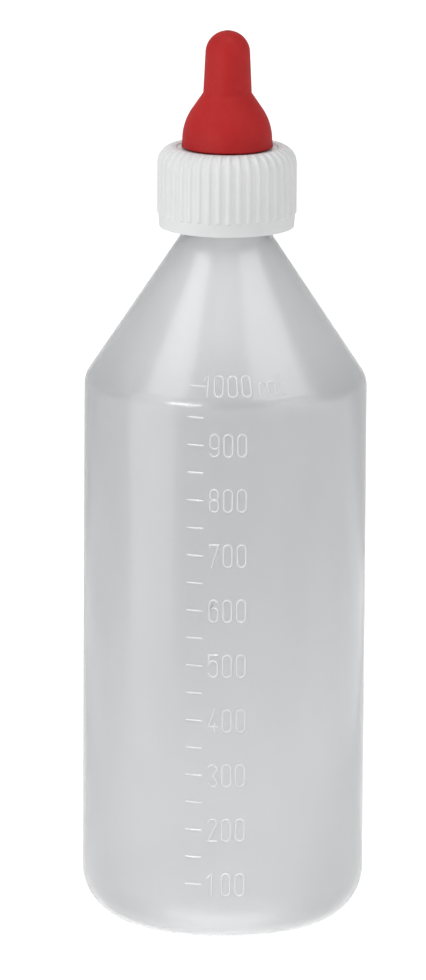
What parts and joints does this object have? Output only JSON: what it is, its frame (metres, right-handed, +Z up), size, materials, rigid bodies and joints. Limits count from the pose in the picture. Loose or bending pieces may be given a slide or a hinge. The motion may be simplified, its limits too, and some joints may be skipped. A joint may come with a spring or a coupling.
{
  "type": "calf feeding bottle",
  "caption": "Translucent feeding bottle with a conical shoulder, moulded volume scale, ribbed screw ring and hollow rubber teat, for hand-feeding calves and lambs.",
  "frame": {"origin": "centre of the bottle's base, at the height of the surface it stands on", "axes": "+Z up along the bottle's axis towards the teat; the moulded volume scale faces -Y; +X is to the right when reading the scale"},
  "size_m": [0.0874, 0.0878, 0.2799],
  "materials": {
    "bottle": "natural translucent polypropylene, blow moulded, softly frosted",
    "screw_ring": "white injection-moulded polypropylene, satin",
    "teat": "red natural rubber, matt to satin"
  },
  "bodies": {
    "bottle": {"bottle": "bottle"},
    "teat": {"teat": "teat"},
    "screw_ring": {"screw_ring": "screw_ring"}
  },
  "joints": [
    {"name": "teat_rise", "type": "slide", "parent": "bottle", "child": "teat", "axis": [0, 0, 1], "range_m": [0, 0.0101]},
    {"name": "ring_turn", "type": "hinge", "parent": "teat", "child": "screw_ring", "pos_m": [0, 0, 0.2313], "axis": [0, 0, 1], "range_deg": [0, 900]}
  ],
  "couplings": [
    {"joint": "teat_rise", "follows": "ring_turn", "m_per_rad": 0.00063662}
  ]
}
